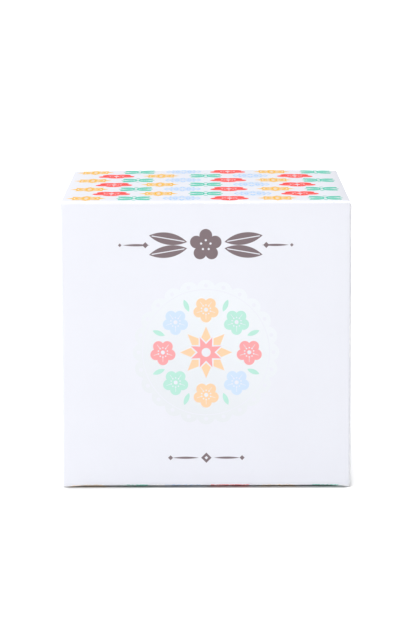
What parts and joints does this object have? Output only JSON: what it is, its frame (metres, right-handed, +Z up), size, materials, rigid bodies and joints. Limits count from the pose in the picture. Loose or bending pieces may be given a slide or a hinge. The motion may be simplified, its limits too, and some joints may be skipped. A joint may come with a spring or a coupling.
{
  "type": "folding carton",
  "caption": "Cube-shaped paperboard folding carton with a front-hinged lid, a tuck flap and side flaps.",
  "frame": {"origin": "centre of the underside, on the surface that the carton stands on", "axes": "+Z up, the front panel faces -Y, +X to the right seen from the front"},
  "size_m": [0.08, 0.08, 0.08],
  "materials": {
    "coated_board": "satin",
    "printed_board": "satin",
    "plain_board": "matt"
  },
  "bodies": {
    "carton": {"sleeve": "coated_board", "bottom_panel": "printed_board", "bottom_inner_panel": "plain_board", "bottom_dust_flap_left": "plain_board", "bottom_dust_flap_right": "plain_board"},
    "lid": {"lid": "printed_board"},
    "tuck": {"tuck_flap": "coated_board"},
    "dust_left": {"dust_flap_left": "plain_board"},
    "dust_right": {"dust_flap_right": "plain_board"}
  },
  "joints": [
    {"name": "lid_fold", "type": "hinge", "parent": "carton", "child": "lid", "pos_m": [0, -0.04, 0.08], "axis": [1, 0, 0], "range_deg": [0, 180]},
    {"name": "tuck_fold", "type": "hinge", "parent": "lid", "child": "tuck", "pos_m": [0, 0.0391, 0.08], "axis": [1, 0, 0], "range_deg": [-30, 0]},
    {"name": "dust_left_fold", "type": "hinge", "parent": "carton", "child": "dust_left", "pos_m": [-0.04, 0, 0.0792], "axis": [0, -1, 0], "range_deg": [0, 108]},
    {"name": "dust_right_fold", "type": "hinge", "parent": "carton", "child": "dust_right", "pos_m": [0.04, 0, 0.0792], "axis": [0, 1, 0], "range_deg": [0, 108]}
  ],
  "couplings": [
    {"joint": "dust_left_fold", "follows": "lid_fold", "ratio": 0.6},
    {"joint": "dust_right_fold", "follows": "lid_fold", "ratio": 0.6}
  ]
}
